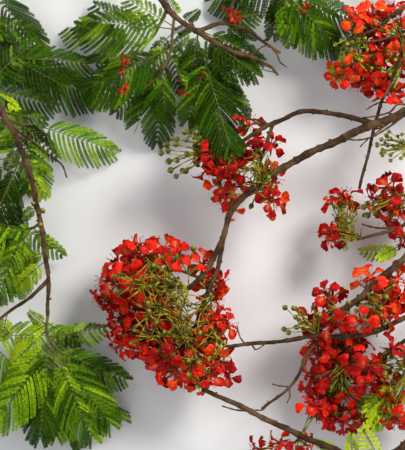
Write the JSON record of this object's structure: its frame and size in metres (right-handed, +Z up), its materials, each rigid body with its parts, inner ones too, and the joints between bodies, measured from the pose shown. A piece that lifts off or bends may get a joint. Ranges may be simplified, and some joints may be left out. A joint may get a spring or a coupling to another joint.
{
  "type": "cut flowering bough of a flame tree",
  "caption": "Cut bough lying on the ground: arching limbs carry heads of red five-petalled flowers, clusters of buds and sprays of feathery compound leaves.",
  "frame": {"origin": "middle of the bough's bounding box, at ground level", "axes": "+Z up from the ground, +Y towards the top of the picture and the cut end, +X towards the picture's right"},
  "size_m": [1.8898, 1.8402, 0.2677],
  "materials": {
    "bark": "rough grey-brown bark",
    "bloom": "soft scarlet petals on yellow-green stalks",
    "leaf": "satin green leaflets"
  },
  "bodies": {
    "root": {"blooms_bottom": "bloom", "blooms_corner": "bloom", "blooms_great_foot": "bloom", "blooms_great_lower": "bloom", "blooms_great_right": "bloom", "blooms_great_top": "bloom", "blooms_great_upper": "bloom", "blooms_high": "bloom", "blooms_high_low": "bloom", "blooms_high_right": "bloom", "blooms_low": "bloom", "blooms_low_left": "bloom", "blooms_low_middle": "bloom", "blooms_low_right": "bloom", "blooms_middle": "bloom", "blooms_middle_left": "bloom", "blooms_middle_right": "bloom", "blooms_right_edge": "bloom", "blooms_right_small": "bloom", "buds_low": "bloom", "flower_bough": "bark", "flower_fork": "bark", "leaf_low_right": "leaf", "leaf_right": "leaf", "leaves_arch_left": "leaf", "leaves_arch_low": "leaf", "leaves_arch_right": "leaf", "leaves_corner": "leaf", "leaves_left_high": "leaf", "leaves_left_low": "leaf", "leaves_left_middle": "leaf", "leaves_left_twig": "leaf", "leaves_low_tip": "leaf", "leaves_top_left": "leaf", "leaves_top_middle": "leaf", "leaves_top_right": "leaf", "leaves_top_tip": "leaf", "leaves_top_under": "leaf", "leaves_upper_left": "leaf", "left_arch": "bark", "left_bough": "bark", "left_twig": "bark", "long_twig": "bark", "low_bough": "bark", "low_right_bough": "bark", "low_twig": "bark", "main_stem": "bark", "mid_bough": "bark", "right_arch_lower": "bark", "right_arch_tip": "bark", "right_arch_upper": "bark", "right_bough": "bark", "top_bough": "bark", "top_fork": "bark", "top_right_bough": "bark", "top_right_twig": "bark", "upper_bough": "bark", "upper_twig": "bark"}
  },
  "joints": []
}
